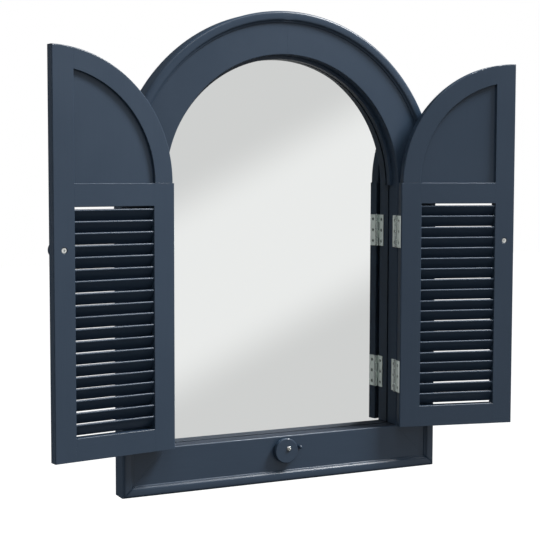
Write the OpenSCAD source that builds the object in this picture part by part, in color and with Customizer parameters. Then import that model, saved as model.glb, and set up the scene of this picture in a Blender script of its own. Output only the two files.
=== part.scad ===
// Arched wall mirror with a pair of louvred shutters, standing open.
// Each piece is drawn with the mirror lying on its back: x runs across it, y runs up it
// and z is the height above the wall face. on_wall() then stands it upright, front to -y.
// The origin is on the wall face, midway between the two hanging holes.

/* [Frame] */
// Width of the frame over its stiles
frame_w = 530; // [480:5:580]
// Height of the spring line of the opening above the foot of the frame
spring_y = 451.5; // [420:0.5:500]
// Width of the stiles and of the bottom rail
rail_w = 69.5; // [64:0.5:76]
// Depth of the frame from the wall to the top of its bead
frame_t = 33; // [31:0.5:36]
// How far the centre of the outer arch lies below the spring line
crown_drop = 5; // [1:0.5:10]
// Radius of the dowels in the frame joints
dowel_r = 4; // [3:0.5:5]
// Distance between the two dowels of a joint
dowel_pitch = 24; // [20:1:28]
// Length of the dowels in the frame joints
dowel_len = 40; // [24:1:48]

/* [Front moulding] */
// Width of the whole raised moulding along the outer edge
bead_w = 17; // [15:0.25:18]
// Width of the high crowned part of the moulding
crown_w = 14; // [12:0.25:15]
// How far the middle of the high part stands above its edges
crown_rise = 0.8; // [0.4:0.1:1.2]
// Radius of the outer edge of the moulding
bead_r = 4.5; // [2:0.25:5]
// Radius of the inner shoulder of the high part
crown_r = 2.8; // [1:0.1:3]
// Drop from the high part to the lip beside it
lip_drop = 2.7; // [2:0.1:3.4]
// Radius of the inner edge of the lip
lip_r = 1; // [0.5:0.1:1.2]
// Drop from the top of the moulding to the flat field
field_drop = 4.5; // [4.2:0.1:6]
// Radius of the softened front edge round the opening
opening_r = 1.5; // [0.5:0.1:3]

/* [Mirror] */
// Thickness of the mirror glass
glass_t = 3; // [2:0.5:3]
// Overlap of the glass behind the frame
glass_lap = 8; // [5:0.5:9]
// Thickness of the backing board
board_t = 3.2; // [2:0.1:3.6]
// Overlap of the backing board behind the frame
board_lap = 16; // [14:0.5:17]
// Clearance round the glass in its rebate
rebate_play = 0.5; // [0.2:0.1:1]
// Width of the bent stop that closes the arch round the mirror
stop_w = 5.3; // [4:0.1:8]
// Height of the bent stop above the glass
stop_t = 9; // [6:0.25:9.5]
// Thickness of the glue line between glued pieces
glue_line = 0.1; // [0.05:0.05:0.2]

/* [Shutters] */
// Thickness of the shutters
shutter_t = 15; // [13.8:0.1:15.6]
// Gap between the foot of the shutters and the ledge
foot_gap = 1; // [0.5:0.1:3]
// Gap between the two closed shutters
meeting_gap = 2; // [1.6:0.1:4]
// Width of the hinge stiles
hinge_stile_w = 33.5; // [30:0.5:40]
// Width of the meeting stiles
meeting_stile_w = 32.4; // [30:0.1:40]
// Width of the low rails
low_rail_w = 32.5; // [28:0.5:40]
// Width of the middle rails
mid_rail_w = 32.6; // [28:0.1:40]
// Width of the curved rails
curved_rail_w = 29.2; // [26:0.1:34]
// Height of the centre of the shutter arch above the spring line
shutter_rise = 4.1; // [2:0.1:5]
// Step from the hinge edge of a shutter to its arch
shoulder_w = 2.3; // [1:0.1:4]
// Radius of the softened outer edges
edge_r = 1.5; // [0.5:0.1:2.5]
// Width of the softened edges round the louvres and the arched panel
ease_w = 0.6; // [0.4:0.1:0.7]
// Length of the tenons on the rails
tenon_len = 12; // [8:0.5:18]
// Thickness of the tenons on the rails
tenon_t = 4.4; // [3:0.1:6]
// Width of the shoulder above and below a tenon
tenon_shoulder = 4; // [2:0.5:8]
// Clearance round a tenon in its mortise
tenon_play = 0.1; // [0.05:0.05:0.2]
// Thickness of the arched panels
panel_t = 6; // [4:0.5:8]
// Depth of the groove that holds an arched panel
panel_lap = 4; // [3:0.5:6]
// Clearance round a panel in its groove
panel_play = 0.1; // [0.05:0.05:0.3]

/* [Louvres] */
// Width of a slat over its rounded edges
slat_w = 20.5; // [19:0.1:20.9]
// Thickness of a slat
slat_t = 3.4; // [3:0.1:4]
// Tilt of the slats from level
slat_tilt = 55; // [54:0.5:62]
// Spacing of the slats up the shutter
slat_pitch = 16.53; // [15:0.01:18]
// Gap between the lowest slat and the low rail
slat_foot = 1.8; // [0.8:0.1:2.6]
// Depth of the housings that hold the slats
housing_d = 4; // [2:0.5:6]
// Clearance round a slat in its housings
slat_play = 0.1; // [0.05:0.05:0.2]

/* [Hinges] */
// Length of a hinge
hinge_len = 50; // [40:1:60]
// Height of the centre of a low hinge above the foot of its shutter
low_hinge_up = 79.5; // [60:0.5:110]
// Drop of the centre of a high hinge below the shoulder of its shutter
high_hinge_down = 76.6; // [60:0.1:110]
// Number of knuckles on a hinge
knuckle_count = 4; // [3:1:5]
// Radius of a knuckle
knuckle_r = 3; // [2.75:0.05:3.3]
// Gap between two knuckles
knuckle_gap = 0.3; // [0.2:0.05:0.6]
// Radius of the hinge pins
pin_r = 1.5; // [1.2:0.1:1.8]
// Radial running clearance of a hinge pin
pin_play = 0.05; // [0.03:0.01:0.08]
// Thickness of the leaves
leaf_t = 1.2; // [0.9:0.1:1.3]
// Width of a leaf from the pin axis to its free edge
leaf_w = 15.5; // [13:0.5:16]
// Distance from the jamb to the pin axis
axis_in = 3.5; // [3.5:0.1:4]
// Distance from the pin axis to the hinge edge of the shutter
axis_gap = 1.5; // [1.4:0.05:1.8]
// Drop from the top of the bead to the pin axis
axis_drop = 1.8; // [1.5:0.1:2]
// Distance from the pin axis back to the outer face of a closed shutter
face_gap = 3; // [2.9:0.1:3.2]
// Height between the screws of a leaf
leaf_screw_pitch = 17.5; // [14:0.5:18]

/* [Opening] */
// Opening angle of the left shutter as it stands
left_open_angle = 171.6; // [90:0.1:178]
// Opening angle of the right shutter as it stands
right_open_angle = 167.6; // [90:0.1:178]

/* [Knobs] */
// Radius of a knob
knob_r = 12.2; // [10:0.1:14]
// Length of a knob
knob_len = 17; // [15:0.5:20]
// Radius of the round rim of a knob
knob_rim_r = 4.6; // [3:0.1:5]
// Radius of the neck of a knob
knob_neck_r = 6.5; // [5:0.5:8]
// Height of the dome on the face of a knob
knob_crown = 1.2; // [0.5:0.1:2]
// Height of the knobs above the foot of the shutters
knob_up = 293.5; // [200:0.5:330]

/* [Turn button] */
// Radius of the round turn button
disc_r = 19; // [16:0.5:20]
// Thickness of the turn button
disc_t = 8; // [6:0.5:10]
// Radius of the softened rims of the turn button
disc_edge_r = 1.5; // [0.5:0.1:2.5]
// Distance from the pivot to the centre of the turn button
disc_offset = 4.5; // [4:0.1:5]
// Direction from the pivot to the centre of the turn button, counted from level
disc_turn = 225; // [180:1:270]
// Drop of the pivot below the ledge
pivot_down = 18.5; // [18:0.5:20]
// Distance from the pivot to the stop peg beside it
peg_x = 22; // [21:0.5:23]
// Radius of the stop peg
peg_r = 2.75; // [2:0.25:3]
// Length of the stop peg that stands out of the rail
peg_out = 7.5; // [5:0.5:9]
// Length of the stop peg inside the rail
peg_in = 10; // [6:0.5:14]
// Radius of the washer under the turn button
washer_r = 7; // [5:0.5:9]
// Thickness of the washer
washer_t = 0.8; // [0.5:0.1:1]
// Axial play of the turn button between its washer and its screw
disc_play = 0.15; // [0.1:0.05:0.3]

/* [Screws] */
// Radius of the shank of the hinge screws
leaf_screw_r = 1.3; // [1.1:0.1:1.5]
// Radius of the head of the hinge screws
leaf_head_r = 2.5; // [2:0.1:2.7]
// Length of the hinge screws
leaf_screw_len = 12; // [8:0.5:16]
// Radius of the shank of the pivot and knob screws
stout_screw_r = 2.2; // [1.8:0.1:2.5]
// Radius of the head of the pivot and knob screws
stout_head_r = 4; // [3.5:0.1:4.5]
// Depth of the pivot screw inside the rail
pivot_grip = 14; // [10:0.5:20]
// Length of a knob screw inside its knob
knob_grip = 9; // [6:0.5:11]
// Depth of a knob screw head below the face of the shutter
head_sink = 0.8; // [0.4:0.1:1.4]
// Clearance round a knob screw head in its counterbore
head_gap = 0.6; // [0.2:0.1:1]
// Radius of the shank of the screws in the back
back_screw_r = 1.2; // [1:0.1:1.4]
// Radius of the head of the screws in the back
back_head_r = 2.2; // [2:0.1:2.5]
// Length of the screws in the back
back_screw_len = 13; // [10:0.5:15]
// Radial clearance of a screw in its hole
screw_play = 0.05; // [0.03:0.01:0.08]

/* [Hanging] */
// Distance from the outer edge of the frame to a hanging hole
hanger_inset = 34; // [30:0.5:38]
// Drop of the hanging holes below the spring line
hanger_drop = 40; // [38:0.5:60]
// Width of a hanger plate
hanger_w = 17; // [16:0.5:18]
// Height of a hanger plate
hanger_h = 50; // [46:1:60]
// Thickness of a hanger plate
hanger_t = 1.5; // [1:0.1:2]
// Radius of the entry hole of a hanger plate
entry_r = 4.5; // [4:0.1:5]
// Radius of the slot above the entry hole
slot_r = 2.3; // [2:0.1:2.6]
// Distance from the entry hole up to the end of the slot
slot_up = 9; // [7:0.5:11]
// Depth of the pocket behind a hanger plate
pocket_d = 8; // [6:0.5:10]
// Clearance round a hanger plate in its recess
hanger_play = 0.2; // [0.1:0.05:0.4]

/* [Hidden] */
$fn = 96;

// How far a cutting solid runs past the face that it cuts
over = 1;
// How far each slat sits off its even place, from the lowest one up
settle_left = [0.2, 0.1, 0.8, 0.5, 0.1, 0, 0, 0.3, 0.7, 1, 0.2, 0.5, 1.1, 0.5, 1, 0.4, 1.1, 0.6, 0.2];
settle_right = [
    0.9, 0.2, 1, 0.5, -0.1, 0.6, 0, -0.2, 0.3, -0.5, 0.2, -0.1, 0.7, 0.5, 0.3, 0.1, -0.2, 0.9, 0.4
];
// Colours of the finishes
paint = [0.17, 0.23, 0.30];
paint_deep = [0.13, 0.18, 0.24];
plated = [0.78, 0.79, 0.80];
silvered = [0.86, 0.88, 0.88];
bare_wood = [0.72, 0.58, 0.42];
board_brown = [0.50, 0.38, 0.26];

// Frame
outer_r = frame_w / 2;
open_r = outer_r - rail_w;
arch_y = spring_y - crown_drop;
field_h = frame_t - field_drop;
lip_h = frame_t - lip_drop;
crown_arc_r = (crown_w * crown_w / 4 + crown_rise * crown_rise) / (2 * crown_rise);
crown_y = arch_y + outer_r;
mitre_cut = 2 * rail_w;
dowel_h = frame_t / 2;
// The dowels stand in pairs about the middle of the rails
stile_dowel_x = [for (side = [-1, 1]) (open_r + outer_r + side * dowel_pitch) / 2];
apex_dowel_y = [for (side = [-1, 1]) (spring_y + open_r + crown_y + side * dowel_pitch) / 2];
// The backing board is screwed through its rim
board_screw_lap = (glass_lap + board_lap) / 2;
board_screw_angles = [22, 66, 114, 158];
board_screw_rows = [0.25, 0.5, 0.75];
hanger_y = spring_y - hanger_drop;
hanger_screw_y = hanger_h / 2 - 2 * back_head_r;
// A hanger plate is centred on its keyhole
keyhole_mid = slot_up / 2;

// Hinges
axis_x = open_r - axis_in;
axis_h = frame_t - axis_drop;
knuckle_len = hinge_len / knuckle_count;
leaf_clear = 2 * knuckle_gap;
leaf_screw_v = (knuckle_r + leaf_clear + leaf_w) / 2;
pin_head_r = (knuckle_r + pin_r) / 2;
pin_head_t = 2 * knuckle_gap;

// Shutters, measured from the pin axis when closed
shutter_foot = rail_w + foot_gap;
shutter_top = spring_y + shutter_rise;
free_x = axis_x - meeting_gap / 2;
shutter_arch_r = free_x - axis_gap - shoulder_w;
panel_r = shutter_arch_r - curved_rail_w;
panel_rise = sqrt(panel_r * panel_r - meeting_stile_w * meeting_stile_w);
slats_x0 = axis_gap + hinge_stile_w;
slats_x1 = free_x - meeting_stile_w;
slats_y0 = shutter_foot + low_rail_w;
slats_y1 = shutter_top - mid_rail_w;
inner_face = -face_gap - shutter_t;
mid_plane = -face_gap - shutter_t / 2;
slat_h = (slat_w - slat_t) * sin(slat_tilt) + slat_t;
slat_room = slats_y1 - slats_y0 - slat_foot - slat_h;
slat_count = floor(slat_room / slat_pitch) + 1;
low_hinge_y = shutter_foot + low_hinge_up;
high_hinge_y = shutter_top - high_hinge_down;
knob_x = free_x - meeting_stile_w / 2;
knob_y = shutter_foot + knob_up;

// Turn button
pivot_y = rail_w - pivot_down;
disc_h = field_h + washer_t + disc_play;
disc_top = disc_h + disc_t + disc_play;

// Stands the mirror up against the wall, with the hanging holes at the origin
module on_wall() {
    translate([0, 0, -hanger_y])
        rotate([90, 0, 0])
            children();
}

// Draws a left-hand piece as it is, or turned over for the right
module handed(side) {
    if (side == "left") {
        children();
    } else {
        mirror([1, 0, 0])
            children();
    }
}

// Carries a piece drawn about the pin axis to its place on the frame
module at_hinge(side, open = 0) {
    on_wall()
        handed(side)
            translate([-axis_x, 0, axis_h])
                rotate([0, -open, 0])
                    children();
}

function open_angle(side) = side == "left" ? left_open_angle : right_open_angle;

// ---- Frame ----

// A flat bar w wide and h high whose two top corners are rounded
module round_top(w, h, left_r, right_r) {
    square([left_r, h - left_r]);
    translate([left_r, 0])
        square([w - left_r - right_r, h]);
    translate([w - right_r, 0])
        square([right_r, h - right_r]);
    translate([left_r, h - left_r])
        circle(r = left_r);
    translate([w - right_r, h - right_r])
        circle(r = right_r);
}

// Section of the frame: x runs inwards from the outer edge, y is the height above the wall
module rail_section() {
    square([rail_w, field_h]);
    intersection() {
        round_top(crown_w, frame_t, bead_r, crown_r);
        translate([crown_w / 2, frame_t - crown_arc_r])
            circle(r = crown_arc_r);
    }
    translate([bead_r, 0])
        round_top(bead_w - bead_r, lip_h, lip_r, lip_r);
}

// The outline of the opening, let out by grow, from one height to another
module arched_slab(grow, low, high) {
    r = open_r + grow;
    translate([0, spring_y, low])
        cylinder(r = r, h = high - low);
    translate([-r, rail_w - grow, low])
        cube([2 * r, spring_y - rail_w + grow, high - low]);
}

// The rebate for the glass, cut into the back of the frame
module rebate() {
    arched_slab(glass_lap, -over, glass_t);
}

// Section of the waste outside a rounded edge whose corner lies at [0, opening_r]
module edge_waste() {
    difference() {
        translate([-over, 0])
            square(opening_r + over);
        translate([opening_r, 0])
            circle(r = opening_r);
    }
}

// Softens the front edge of the arch and of the two jambs below it
module soften_opening() {
    translate([0, spring_y, field_h - opening_r])
        rotate_extrude(angle = 180)
            translate([open_r, 0])
                edge_waste();
    for (side = ["left", "right"])
        handed(side)
            translate([-open_r, spring_y, field_h - opening_r])
                rotate([90, 0, 0])
                    linear_extrude(spring_y - rail_w + opening_r)
                        mirror([1, 0])
                            edge_waste();
}

// A countersunk screw: the top of its head lies at z = 0 and its shank runs down
module screw(shank_r, head_r, length, grow = 0) {
    head_d = head_r - shank_r;
    top = grow > 0 ? over : 0;
    rotate_extrude()
        polygon(concat(
            [
                [0, -length - grow],
                [shank_r / 3 + grow, -length - grow],
                [shank_r + grow, -length + shank_r],
                [shank_r + grow, -head_d],
                [head_r + grow, 0]
            ],
            grow > 0 ? [[head_r + grow, top]] : [],
            [[0, top]]
        ));
}

// Puts a screw at each place round the rim of the backing board
module at_board_screws() {
    r = open_r + board_screw_lap;
    low_y = rail_w - board_screw_lap;
    for (a = board_screw_angles)
        translate([r * cos(a), spring_y + r * sin(a), -board_t])
            children();
    for (side = [-1, 1], row = board_screw_rows)
        translate([side * r, low_y + row * (spring_y - low_y), -board_t])
            children();
    for (side = [-1, 1])
        translate([side * open_r / 2, low_y, -board_t])
            children();
}

module board_screw(grow = 0) {
    mirror([0, 0, 1])
        screw(back_screw_r, back_head_r, back_screw_len, grow);
}

// Puts a piece at each of the two hanging holes
module at_hangers() {
    for (side = [-1, 1])
        translate([side * (outer_r - hanger_inset), hanger_y, 0])
            children();
}

module at_hanger_screws() {
    for (end = [-1, 1])
        translate([0, keyhole_mid + end * hanger_screw_y, 0])
            mirror([0, 0, 1])
                children();
}

// Keyhole of a hanger plate, or the pocket that gives a screw head room behind it
module keyhole(wide_r, narrow_r, low, high) {
    translate([0, 0, low])
        cylinder(r = wide_r, h = high - low);
    translate([-narrow_r, 0, low])
        cube([2 * narrow_r, slot_up, high - low]);
    translate([0, slot_up, low])
        cylinder(r = narrow_r, h = high - low);
}

module hanger_blank(grow) {
    translate([-hanger_w / 2 - grow, keyhole_mid - hanger_h / 2 - grow, grow > 0 ? -over : 0])
        cube([hanger_w + 2 * grow, hanger_h + 2 * grow, hanger_t + (grow > 0 ? over : 0)]);
}

// Recess, head pocket and pilot holes for a hanger plate
module hanger_cut() {
    pocket_r = entry_r + hanger_play;
    hanger_blank(hanger_play);
    keyhole(pocket_r, pocket_r, -over, pocket_d);
    at_hanger_screws()
        screw(back_screw_r, back_head_r, back_screw_len, screw_play);
}

// Dowels that tie the arch to the stiles and the two halves of the arch together
module dowels(grow = 0) {
    half = dowel_len / 2 + grow;
    for (side = [-1, 1], x = stile_dowel_x)
        translate([side * x, arch_y - half, dowel_h])
            rotate([-90, 0, 0])
                cylinder(r = dowel_r + grow, h = 2 * half);
    for (y = apex_dowel_y)
        translate([-half, y, dowel_h])
            rotate([0, 90, 0])
                cylinder(r = dowel_r + grow, h = 2 * half);
}

// Puts a screw at each hole of a left-hand jamb leaf
module at_jamb_screws() {
    for (y = [low_hinge_y, high_hinge_y], step = [-1, 0, 1])
        translate([-open_r + leaf_t, y + step * leaf_screw_pitch, axis_h - leaf_screw_v])
            rotate([0, 90, 0])
                children();
}

module leaf_screw(grow = 0) {
    screw(leaf_screw_r, leaf_head_r, leaf_screw_len, grow);
}

// One half of the arch, turned on the bench about the centre of the outer curve
module arch_half(side) {
    on_wall()
        handed(side)
            difference() {
                translate([0, arch_y, 0])
                    rotate([0, 0, 90])
                        rotate_extrude(angle = 90)
                            translate([outer_r, 0])
                                mirror([1, 0])
                                    rail_section();
                arched_slab(0, -over, frame_t + over);
                soften_opening();
                rebate();
                dowels(glue_line);
                at_board_screws()
                    board_screw(screw_play);
            }
}

module arch_left() {
    color(paint)
        arch_half("left");
}

module arch_right() {
    color(paint)
        arch_half("right");
}

// A stile, mitred at its foot where it meets the bottom rail
module stile(side) {
    on_wall()
        handed(side)
            difference() {
                translate([-outer_r, arch_y, 0])
                    rotate([90, 0, 0])
                        linear_extrude(arch_y)
                            rail_section();
                translate([-outer_r, 0, -over])
                    rotate([0, 0, 45])
                        translate([-over, -mitre_cut, 0])
                            cube([mitre_cut, mitre_cut, frame_t + 2 * over]);
                soften_opening();
                rebate();
                dowels(glue_line);
                at_board_screws()
                    board_screw(screw_play);
                at_hangers()
                    hanger_cut();
                at_jamb_screws()
                    leaf_screw(screw_play);
            }
}

module stile_left() {
    color(paint)
        stile("left");
}

module stile_right() {
    color(paint)
        stile("right");
}

// Bottom rail: its inner edge is the ledge that the mirror stands behind
module bottom_rail() {
    color(paint)
        on_wall()
            difference() {
                translate([-outer_r, 0, 0])
                    rotate([90, 0, 90])
                        linear_extrude(frame_w)
                            rail_section();
                for (side = ["left", "right"])
                    handed(side)
                        translate([-outer_r, 0, -over])
                            rotate([0, 0, 45])
                                translate([-over, 0, 0])
                                    cube([mitre_cut, mitre_cut, frame_t + 2 * over]);
                rebate();
                // Softened front edge of the ledge
                translate([-open_r - opening_r, rail_w, field_h - opening_r])
                    rotate([90, 0, 90])
                        linear_extrude(2 * (open_r + opening_r))
                            mirror([1, 0])
                                edge_waste();
                at_board_screws()
                    board_screw(screw_play);
                translate([0, pivot_y, disc_top])
                    pivot_screw_solid(screw_play);
                translate([peg_x, pivot_y, field_h - peg_in])
                    cylinder(r = peg_r + screw_play, h = peg_in + over);
            }
}

module frame_dowels() {
    color(bare_wood)
        on_wall()
            dowels();
}

// Thin strip bent round the arch, which hides the edge of the mirror there
module arch_stop() {
    color(paint)
        on_wall()
            translate([0, spring_y, glass_t])
                rotate_extrude(angle = 180)
                    translate([open_r - stop_w, 0])
                        square([stop_w - glue_line, stop_t]);
}

module mirror_glass() {
    color(silvered)
        on_wall()
            arched_slab(glass_lap - rebate_play, 0, glass_t);
}

// Backing board, screwed to the back of the frame over the glass
module back_board() {
    color(board_brown)
        on_wall()
            difference() {
                arched_slab(board_lap, -board_t, 0);
                at_board_screws()
                    board_screw(screw_play);
            }
}

module board_screws() {
    color(plated)
        on_wall()
            at_board_screws()
                board_screw();
}

// Steel plates with keyholes, let in flush with the back of the stiles
module hanger_plates() {
    color(plated)
        on_wall()
            at_hangers()
                difference() {
                    hanger_blank(0);
                    keyhole(entry_r, slot_r, -over, hanger_t + over);
                    at_hanger_screws()
                        screw(back_screw_r, back_head_r, back_screw_len, screw_play);
                }
}

module hanger_screws() {
    color(plated)
        on_wall()
            at_hangers()
                at_hanger_screws()
                    screw(back_screw_r, back_head_r, back_screw_len);
}

// ---- Turn button, its pivot and its stop ----

// Dome-headed screw: the underside of its head lies at z = 0
module pivot_screw_solid(grow = 0) {
    length = disc_top - field_h + pivot_grip;
    dome_h = stout_head_r / 2;
    dome_r = (stout_head_r * stout_head_r + dome_h * dome_h) / (2 * dome_h);
    translate([0, 0, -length - grow])
        cylinder(r = stout_screw_r + grow, h = length + grow);
    if (grow == 0) {
        difference() {
            intersection() {
                translate([0, 0, dome_h - dome_r])
                    sphere(r = dome_r);
                cylinder(r = stout_head_r + over, h = stout_head_r);
            }
            cross_recess(dome_h);
        }
    }
}

// Cross-shaped recess for a screwdriver, cut down from the height top
module cross_recess(top) {
    arm = stout_head_r / 2;
    slit = stout_head_r / 6;
    for (a = [0, 90])
        rotate([0, 0, a])
            translate([-arm, -slit, top - stout_head_r / 4])
                cube([2 * arm, 2 * slit, stout_head_r]);
}

module pivot_screw() {
    color(plated)
        on_wall()
            translate([0, pivot_y, disc_top])
                pivot_screw_solid();
}

module pivot_washer() {
    color(plated)
        on_wall()
            translate([0, pivot_y, field_h])
                difference() {
                    cylinder(r = washer_r, h = washer_t);
                    translate([0, 0, -over])
                        cylinder(r = stout_screw_r + screw_play, h = washer_t + 2 * over);
                }
}

// Round turn button, bored off its centre
module turn_button() {
    color(paint)
        on_wall()
            translate([0, pivot_y, disc_h])
                difference() {
                    rotate([0, 0, disc_turn])
                        translate([disc_offset, 0, 0])
                            rotate_extrude()
                                half_pill(disc_r, disc_t, disc_edge_r);
                    translate([0, 0, -over])
                        cylinder(r = stout_screw_r + screw_play, h = disc_t + 2 * over);
                }
}

// Half section of a disc with both rims rounded
module half_pill(r, t, rim_r) {
    square([r - rim_r, t]);
    translate([0, rim_r])
        square([r, t - 2 * rim_r]);
    for (y = [rim_r, t - rim_r])
        translate([r - rim_r, y])
            circle(r = rim_r);
}

// Wooden peg beside the turn button: the button's rim comes to rest against it
module stop_peg() {
    tip = peg_r / 2;
    color(paint_deep)
        on_wall()
            translate([peg_x, pivot_y, field_h - peg_in])
                rotate_extrude()
                    polygon([
                        [0, 0],
                        [peg_r, 0],
                        [peg_r, peg_in + peg_out - tip],
                        [peg_r - tip, peg_in + peg_out],
                        [0, peg_in + peg_out]
                    ]);
}

// ---- Hinges, drawn about the pin axis with the shutter closed ----

// Every second knuckle, from the one numbered first
module knuckles(first) {
    for (i = [first : 2 : knuckle_count - 1])
        translate([0, i * knuckle_len - hinge_len / 2 + knuckle_gap / 2, 0])
            rotate([-90, 0, 0])
                cylinder(r = knuckle_r, h = knuckle_len - knuckle_gap);
}

// Room cut from a leaf for the knuckles of the other leaf
module knuckle_room(first) {
    room = knuckle_r + leaf_clear;
    for (i = [first : 2 : knuckle_count - 1])
        translate([-2 * room, i * knuckle_len - hinge_len / 2 - knuckle_gap / 2, -room])
            cube([4 * room, knuckle_len + knuckle_gap, 2 * room]);
}

// A leaf with its plate between x0 and x0 + leaf_t, and its own knuckles
module leaf(x0, own, other) {
    difference() {
        union() {
            difference() {
                translate([x0, -hinge_len / 2, -leaf_w])
                    cube([leaf_t, hinge_len, leaf_w]);
                knuckle_room(other);
            }
            knuckles(own);
        }
        rotate([-90, 0, 0])
            translate([0, 0, -hinge_len / 2 - over])
                cylinder(r = pin_r + pin_play, h = hinge_len + 2 * over);
    }
}

module jamb_leaf(side, y) {
    color(plated)
        difference() {
            at_hinge(side)
                translate([0, y, 0])
                    leaf(-axis_in, 1, 0);
            on_wall()
                handed(side)
                    at_jamb_screws()
                        leaf_screw(screw_play);
        }
}

module jamb_leaf_low_left() {
    jamb_leaf("left", low_hinge_y);
}

module jamb_leaf_high_left() {
    jamb_leaf("left", high_hinge_y);
}

module jamb_leaf_low_right() {
    jamb_leaf("right", low_hinge_y);
}

module jamb_leaf_high_right() {
    jamb_leaf("right", high_hinge_y);
}

// Hinge pin with a head above the top knuckle and a short tail below the lowest
module hinge_pin(side, y) {
    half = hinge_len / 2;
    color(plated)
        at_hinge(side)
            translate([0, y, 0])
                rotate([-90, 0, 0])
                    rotate_extrude()
                        polygon([
                            [0, -half - pin_head_t],
                            [pin_r / 2, -half - pin_head_t],
                            [pin_r, -half],
                            [pin_r, half],
                            [pin_head_r, half],
                            [pin_head_r, half + pin_head_t / 2],
                            [pin_r, half + pin_head_t],
                            [0, half + pin_head_t]
                        ]);
}

module hinge_pin_low_left() {
    hinge_pin("left", low_hinge_y);
}

module hinge_pin_high_left() {
    hinge_pin("left", high_hinge_y);
}

module hinge_pin_low_right() {
    hinge_pin("right", low_hinge_y);
}

module hinge_pin_high_right() {
    hinge_pin("right", high_hinge_y);
}

module jamb_leaf_screws() {
    color(plated)
        on_wall()
            for (side = ["left", "right"])
                handed(side)
                    at_jamb_screws()
                        leaf_screw();
}

// Puts a screw at each hole of the two leaves on a shutter
module at_shutter_screws() {
    for (y = [low_hinge_y, high_hinge_y], step = [-1, 0, 1])
        translate([axis_gap - leaf_t, y + step * leaf_screw_pitch, -leaf_screw_v])
            rotate([0, -90, 0])
                children();
}

module shutter_leaf(side, y) {
    color(plated)
        at_hinge(side, open_angle(side))
            difference() {
                translate([0, y, 0])
                    leaf(axis_gap - leaf_t, 0, 1);
                at_shutter_screws()
                    leaf_screw(screw_play);
            }
}

module shutter_leaf_low_left() {
    shutter_leaf("left", low_hinge_y);
}

module shutter_leaf_high_left() {
    shutter_leaf("left", high_hinge_y);
}

module shutter_leaf_low_right() {
    shutter_leaf("right", low_hinge_y);
}

module shutter_leaf_high_right() {
    shutter_leaf("right", high_hinge_y);
}

module shutter_leaf_screws(side) {
    color(plated)
        at_hinge(side, open_angle(side))
            at_shutter_screws()
                leaf_screw();
}

module shutter_leaf_screws_left() {
    shutter_leaf_screws("left");
}

module shutter_leaf_screws_right() {
    shutter_leaf_screws("right");
}

// ---- Shutters, drawn closed about the pin axis: x runs to the meeting edge ----

// Section of a stile w wide, with its outer long edges rounded on one side
module stile_section(w, round_free) {
    flat_x = round_free ? 0 : edge_r;
    round_x = round_free ? w - edge_r : edge_r;
    translate([flat_x, 0])
        square([w - edge_r, shutter_t]);
    translate([0, edge_r])
        square([w, shutter_t - 2 * edge_r]);
    for (z = [edge_r, shutter_t - edge_r])
        translate([round_x, z])
            circle(r = edge_r);
}

// A bar of that section standing from y0 to y1
module stile_bar(x, w, y0, y1, round_free) {
    translate([x, y1, inner_face])
        rotate([90, 0, 0])
            linear_extrude(y1 - y0)
                stile_section(w, round_free);
}

// A flat block through the whole thickness of the shutter
module block(x0, x1, y0, y1) {
    translate([x0, y0, inner_face])
        cube([x1 - x0, y1 - y0, shutter_t]);
}

// Quarter disc with a rounded rim: the outline of the arched top
module arch_body() {
    translate([free_x, shutter_top, inner_face])
        rotate([0, 0, 90])
            rotate_extrude(angle = 90)
                half_pill(shutter_arch_r, shutter_t, edge_r);
}

// Triangular cut that softens a straight edge, on both faces, from x0 to x1 at height y
module ease_level(x0, x1, y) {
    for (z = [inner_face, -face_gap])
        translate([x0, y, z])
            rotate([45, 0, 0])
                translate([0, -ease_w * sqrt(0.5), -ease_w * sqrt(0.5)])
                    cube([x1 - x0, ease_w * sqrt(2), ease_w * sqrt(2)]);
}

// The same for an upright edge at x, from y0 to y1
module ease_upright(x, y0, y1) {
    for (z = [inner_face, -face_gap])
        translate([x, y0, z])
            rotate([0, 45, 0])
                translate([-ease_w * sqrt(0.5), 0, -ease_w * sqrt(0.5)])
                    cube([ease_w * sqrt(2), y1 - y0, ease_w * sqrt(2)]);
}

// Places every slat on its centre line, tilted with its high edge to the inner face
module at_slats(side) {
    settle = side == "left" ? settle_left : settle_right;
    low_y = slats_y0 + slat_foot + slat_h / 2;
    for (i = [0 : slat_count - 1])
        translate([0, low_y + i * slat_pitch + settle[i % len(settle)], mid_plane])
            rotate([slat_tilt - 90, 0, 0])
                children();
}

// A slat or its housing: a flat bar with both long edges rounded
module slat_bar(x0, x1, grow = 0) {
    r = slat_t / 2 + grow;
    half = (slat_w - slat_t) / 2;
    translate([x0, 0, 0])
        rotate([90, 0, 90])
            linear_extrude(x1 - x0) {
                translate([0, -r])
                    square([half, 2 * r]);
                translate([-half, -r])
                    square([half, 2 * r]);
                for (x = [-half, half])
                    translate([x, 0])
                        circle(r = r);
            }
}

// The arched panel, or the groove that holds it
module panel_slab(grow = 0) {
    r = panel_r + panel_lap + grow;
    x1 = slats_x1 + panel_lap + grow;
    y0 = shutter_top - panel_lap - grow;
    t = panel_t + 2 * grow;
    intersection() {
        translate([free_x, shutter_top, mid_plane - t / 2])
            cylinder(r = r, h = t);
        translate([free_x - r, y0, mid_plane - t / 2 - over])
            cube([x1 - free_x + r, r + panel_lap + grow, t + 2 * over]);
    }
}

// A rail between the stiles; its tenons stop short of the top by the depth of the groove
module rail(y0, y1, groove_d) {
    block(slats_x0, slats_x1, y0, y1);
    tenons(y0, y1 - groove_d);
}

// The tenons of a rail, or their mortises
module tenons(y0, y1, grow = 0) {
    t = tenon_t + 2 * grow;
    translate([slats_x0 - tenon_len - grow, y0 + tenon_shoulder - grow, mid_plane - t / 2])
        cube([
            slats_x1 - slats_x0 + 2 * (tenon_len + grow),
            y1 - y0 - 2 * (tenon_shoulder - grow),
            t
        ]);
}

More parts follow.
